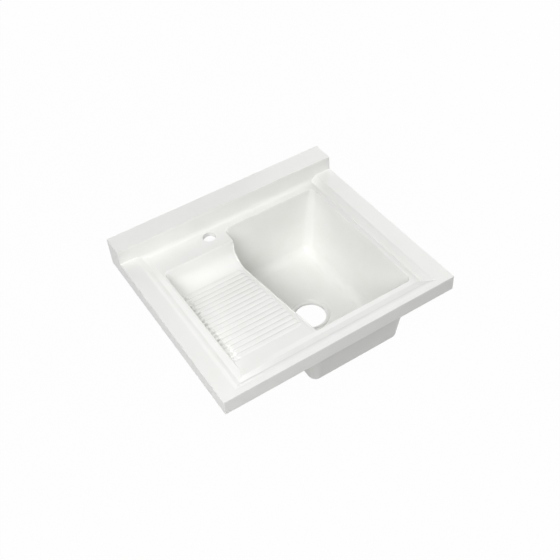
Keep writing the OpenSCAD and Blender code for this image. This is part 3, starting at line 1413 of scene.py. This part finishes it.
@dataclass(frozen=True)
class Deck:
    """The recessed deck, cut out for the bowl, the washboard and the tap.

    open_x and open_y are the stretches in which the cut-outs' top edges are rounded. The back of
    the tap hole lies past them and stays sharp. The cutting shapes stand past the deck's faces.
    """

    rim_r: float = 2.6
    rim_steps: int = 5
    mouth_steps: int = 12
    ledge_r: float = 4.0
    ledge_steps: int = 6
    ledge_near: Pair = (1.5, 2.5)
    tap: Pair = (223.0, 453.5)
    tap_r: float = 16.0
    tap_edge: float = 0.8
    tap_steps: int = 3
    near: float = 1.0
    past: float = 4.0
    open_x: Pair = (60.0, 540.0)
    open_y: Pair = (50.0, 460.0)
    level_face: float = 0.5

    def mouth(self, low: float, high: float) -> Solid:
        """Space of the bowl's mouth and of the washboard's pocket.

        Args:
            low: Height of the space's foot.
            high: Height of its top.

        Returns:
            The space.
        """
        middle = (BOWL.x0 + BOWL.x1) / 2

        def free_corner(edge: bmesh.types.BMEdge) -> bool:
            """The mouth's upright corners, without the one where the washboard starts."""
            return is_upright(edge) and any(v.co.x > middle or v.co.y > BOARD.back for v in edge.verts)

        space = Solid.tapered(BOWL.level(low), BOWL.level(high))
        space.rounded(free_corner, BOWL.mouth_r, self.mouth_steps)
        return space.combined(Washboard().air(low, high), "UNION")

    def by_ledge(self, edge: bmesh.types.BMEdge) -> bool:
        """True for the upright corner between the pocket's back and the mouth.

        Args:
            edge: The edge.

        Returns:
            The answer.
        """
        near_x, near_y = self.ledge_near
        return is_upright(edge) and all(
            abs(v.co.x - BOWL.x0) < near_x and abs(v.co.y - BOARD.back) < near_y for v in edge.verts
        )

    def on_rim(self, edge: bmesh.types.BMEdge) -> bool:
        """True for the top edges of the cut-outs, but not for the one where the washboard starts.

        Args:
            edge: The edge.

        Returns:
            The answer.
        """
        (x0, x1), (y0, y1) = self.open_x, self.open_y
        inside = all(is_near(v.co.z, TOP.deck) and x0 < v.co.x < x1 and y0 < v.co.y < y1 for v in edge.verts)
        front = all(is_near(v.co.y, BOARD.front) and v.co.x < BOWL.x0 + self.near for v in edge.verts)
        faces = sorted(abs(f.normal.z) for f in edge.link_faces)
        return inside and not front and len(faces) == 2 and faces[0] < self.level_face < faces[1]

    def by_tap(self, edge: bmesh.types.BMEdge) -> bool:
        """True for the edges of the tap hole."""
        middle = (edge.verts[0].co + edge.verts[1].co) / 2
        return math.hypot(middle.x - self.tap[0], middle.y - self.tap[1]) < self.tap_r + self.near

    def build(self, material: bpy.types.Material) -> None:
        """Makes the deck.

        Args:
            material: The composite.
        """
        low, high = TOP.under - self.past, TOP.deck + self.past
        back = TOP.upstand_front - TOP.cove
        solid = Solid.block((TOP.sheet, TOP.sheet, TOP.under), (TOP.width - TOP.sheet, back, TOP.deck))
        solid.without(self.mouth(low, high))
        solid.sliced((1, 0, 0), (BOARD.right + 2 * Washboard().reach, 0, 0))
        solid.rounded(self.by_ledge, self.ledge_r, self.ledge_steps)
        solid.without(Solid.cylinder(self.tap, self.tap_r, low, high))
        solid.mesh.normal_update()
        solid.rounded(lambda e: self.on_rim(e) and not self.by_tap(e), self.rim_r, self.rim_steps)
        solid.rounded(lambda e: self.on_rim(e) and self.by_tap(e), self.tap_edge, self.tap_steps)
        dress(solid.piece("deck_panel_shaped", material), "composite", "deck_panel")


@dataclass(frozen=True)
class Frame:
    """The hidden frame under the deck: its parts keep their CAD shapes and get real finishes."""

    plywood: tuple[str, ...] = (
        "upstand_spacers", "batten_left", "batten_right", "batten_front", "batten_rear", "corner_blocks",
    )
    brass: tuple[str, ...] = ("fixing_inserts",)

    def build(self, wood: bpy.types.Material, metal: bpy.types.Material) -> None:
        """Gives the frame's nodes their materials.

        Args:
            wood: The plywood.
            metal: The brass.
        """
        for names, material in ((self.plywood, wood), (self.brass, metal)):
            for name in names:
                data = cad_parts[name].data
                data.materials.clear()
                data.materials.append(material)
                LOG.info("node %s keeps its shape, in %s", name, material.name)


# Studio


@dataclass(frozen=True)
class Viewpoint:
    """The photograph's camera, solved from the top's corners in millimetres of the drawing.

    offset is where the drawing's origin lies from the camera: to the right, down and ahead.
    """

    azimuth: float = -29.87
    elevation: float = 45.83
    roll: float = -4.34
    focal_px: float = 833.6
    frame_px: float = 560.0
    offset: tuple[float, float, float] = (-112.21, 245.06, 1658.14)
    sensor_mm: float = 36.0
    clip_m: Pair = (0.05, 50.0)

    def build(self) -> None:
        """Makes the camera."""
        az, el, roll = (math.radians(a) for a in (self.azimuth, self.elevation, self.roll))
        back = Vector((math.sin(az) * math.cos(el), -math.cos(az) * math.cos(el), math.sin(el)))
        right = (-back).cross(Vector((0, 0, 1))).normalized()
        up = right.cross(-back)
        right, up = (
            math.cos(roll) * right + math.sin(roll) * up,
            -math.sin(roll) * right + math.cos(roll) * up,
        )
        x, y, z = self.offset
        eye = -(right * x - up * y - back * z)
        data = bpy.data.cameras.new("photo_camera")
        data.sensor_width = self.sensor_mm
        data.lens = self.focal_px / self.frame_px * self.sensor_mm
        data.clip_start, data.clip_end = self.clip_m
        camera = bpy.data.objects.new("photo_camera", data)
        bpy.context.scene.collection.objects.link(camera)
        turn = Matrix((right, up, back)).transposed().to_4x4()
        camera.matrix_world = Matrix.Translation(TOP.to_row() @ eye) @ turn
        bpy.context.scene.camera = camera


@dataclass(frozen=True)
class Softbox:
    """One soft square lamp, aimed at the basin.

    The azimuth is in degrees from the front, counted to the right, and the sizes are in metres.
    """

    name: str
    azimuth: float
    elevation: float
    watts: float
    size: float = 1.3
    distance: float = 2.6
    aim: tuple[float, float, float] = (0.0, 0.0, 0.15)

    def build(self) -> None:
        """Makes the lamp."""
        data = bpy.data.lights.new(self.name, "AREA")
        data.shape = "SQUARE"
        data.size = self.size
        data.energy = self.watts
        lamp = bpy.data.objects.new(self.name, data)
        turn, rise = math.radians(self.azimuth), math.radians(self.elevation)
        way = Vector((math.cos(rise) * math.sin(turn), -math.cos(rise) * math.cos(turn), math.sin(rise)))
        lamp.location = Vector(self.aim) + self.distance * way
        lamp.rotation_mode = "QUATERNION"
        lamp.rotation_quaternion = way.to_track_quat("Z", "Y")
        bpy.context.scene.collection.objects.link(lamp)


def seen_directly(tree: bpy.types.NodeTree) -> bpy.types.NodeSocket:
    """Adds a switch that is 1 for what the camera sees, itself or in gloss or glass.

    Args:
        tree: The node tree.

    Returns:
        The switch's socket.
    """
    path = add_node(tree, "ShaderNodeLightPath")
    straight = add_node(
        tree, "ShaderNodeMath", {"operation": "MAXIMUM"},
        {0: path.outputs["Is Camera Ray"], 1: path.outputs["Is Transmission Ray"]},
    )
    return add_node(
        tree, "ShaderNodeMath", {"operation": "MAXIMUM"},
        {0: straight.outputs[0], 1: path.outputs["Is Glossy Ray"]},
    ).outputs[0]


@dataclass(frozen=True)
class Studio:
    """White floor, white surroundings and soft lamps."""

    ambient: float = 0.03
    floor_white: float = 0.98
    floor_grey: str = "BCBCBC"
    floor_m: float = 12.0
    lamps: tuple[Softbox, ...] = (
        Softbox("front_left", azimuth=315, elevation=38, watts=32.5),
        Softbox("front_left_high", azimuth=315, elevation=58, watts=18.4),
        Softbox("left_high", azimuth=270, elevation=58, watts=4.3),
        Softbox("rear_right", azimuth=135, elevation=38, watts=6.5),
        Softbox("rear_low", azimuth=180, elevation=18, watts=13.5),
        Softbox("right_low", azimuth=90, elevation=18, watts=35.0),
    )

    def world(self) -> None:
        """Surroundings that light the basin, and look white to the camera."""
        world = bpy.data.worlds.new("studio")
        world.use_nodes = True
        tree = world.node_tree
        tree.nodes.clear()
        seen = seen_directly(tree)
        light = add_node(tree, "ShaderNodeBackground", {"Strength": self.ambient})
        white = add_node(tree, "ShaderNodeBackground", {"Strength": 1.0})
        light.inputs["Color"].default_value = white.inputs["Color"].default_value = (1.0, 1.0, 1.0, 1.0)
        mix = add_node(
            tree, "ShaderNodeMixShader",
            links={0: seen, 1: light.outputs[0], 2: white.outputs[0]},
        )
        add_node(tree, "ShaderNodeOutputWorld", links={"Surface": mix.outputs[0]})
        bpy.context.scene.world = world

    def floor(self) -> None:
        """Pale floor that keeps the basin's shadow but looks nearly white to the camera."""
        bm = bmesh.new()
        bmesh.ops.create_grid(bm, x_segments=1, y_segments=1, size=self.floor_m)
        data = bpy.data.meshes.new("studio_floor")
        bm.to_mesh(data)
        bm.free()
        material, tree = new_material("matte_white_floor")
        seen = seen_directly(tree)
        share = add_node(tree, "ShaderNodeMath", {"operation": "MULTIPLY"}, {0: seen})
        share.inputs[1].default_value = self.floor_white
        matte = add_node(tree, "ShaderNodeBsdfDiffuse")
        matte.inputs["Color"].default_value = linear(self.floor_grey)
        white = add_node(tree, "ShaderNodeEmission", {"Strength": 1.0})
        mix = add_node(
            tree, "ShaderNodeMixShader",
            links={0: share.outputs[0], 1: matte.outputs[0], 2: white.outputs[0]},
        )
        add_node(tree, "ShaderNodeOutputMaterial", links={"Surface": mix.outputs[0]})
        data.materials.append(material)
        floor = bpy.data.objects.new("studio_floor", data)
        bpy.context.scene.collection.objects.link(floor)

    def build(self) -> None:
        """Makes the studio."""
        self.world()
        self.floor()
        for lamp in self.lamps:
            lamp.build()
        bpy.context.scene.view_settings.view_transform = "Standard"


def main() -> None:
    """Builds the basin and the studio round it."""
    logging.basicConfig(level=logging.INFO, format="%(message)s")
    Viewpoint().build()
    composite = CompositeSheet().build()
    Rim().build(composite)
    Upstand().build(composite)
    Deck().build(composite)
    Washboard().build(composite)
    Bowl().build(composite)
    Frame().build(BirchPlywood().build(), TurnedBrass().build())
    Studio().build()


if __name__ == "__main__":
    main()
